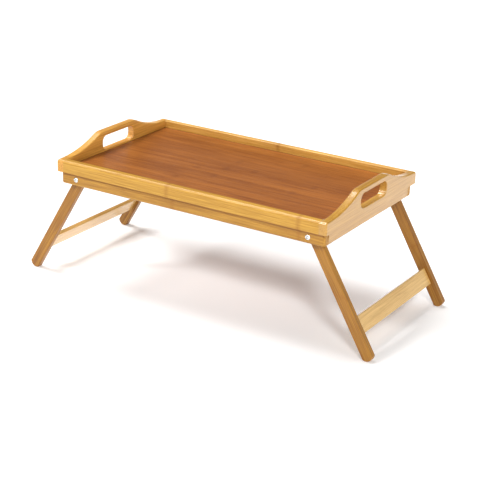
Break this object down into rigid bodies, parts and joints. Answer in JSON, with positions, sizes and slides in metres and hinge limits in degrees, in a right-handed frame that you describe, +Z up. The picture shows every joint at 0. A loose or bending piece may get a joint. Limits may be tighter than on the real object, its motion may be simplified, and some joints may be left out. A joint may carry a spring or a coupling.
{
  "type": "folding tray table",
  "caption": "Shallow rectangular wooden bed tray with raised, slotted carrying handles, on splayed leg frames that fold flat into an apron under the tray.",
  "frame": {"origin": "on the floor, under the middle of the tray, with the legs open", "axes": "+X along the tray's length, +Y across it, +Z up"},
  "size_m": [0.6538, 0.3, 0.2341],
  "materials": {
    "frame_bamboo": "satin lacquered natural bamboo",
    "panel_bamboo": "semi-gloss lacquered carbonised bamboo",
    "leg_bamboo": "satin lacquered bamboo",
    "dowel_wood": "plain beech",
    "bolt_steel": "polished nickel plate",
    "fixing_steel": "zinc plate"
  },
  "bodies": {
    "tray": {"front_top_rail": "frame_bamboo", "back_top_rail": "frame_bamboo", "left_end_board": "frame_bamboo", "right_end_board": "frame_bamboo", "tray_panel": "panel_bamboo", "front_lower_rail": "frame_bamboo", "back_lower_rail": "frame_bamboo", "left_cross_rail": "frame_bamboo", "right_cross_rail": "frame_bamboo", "pivot_bolts": "bolt_steel", "rail_washers": "fixing_steel", "nut_washers": "fixing_steel", "pivot_nuts": "fixing_steel", "tray_box_dowels": "dowel_wood", "apron_dowels": "dowel_wood", "frame_screws": "fixing_steel"},
    "left_leg_frame": {"left_front_leg": "leg_bamboo", "left_back_leg": "leg_bamboo", "left_stretcher": "leg_bamboo"},
    "right_leg_frame": {"right_front_leg": "leg_bamboo", "right_back_leg": "leg_bamboo", "right_stretcher": "leg_bamboo"}
  },
  "joints": [
    {"name": "left_legs_fold", "type": "hinge", "parent": "tray", "child": "left_leg_frame", "pos_m": [-0.216, 0, 0.18057], "axis": [0, -1, 0], "range_deg": [0, 120.56]},
    {"name": "right_legs_fold", "type": "hinge", "parent": "tray", "child": "right_leg_frame", "pos_m": [0.216, 0, 0.18057], "axis": [0, 1, 0], "range_deg": [0, 120.56]}
  ]
}
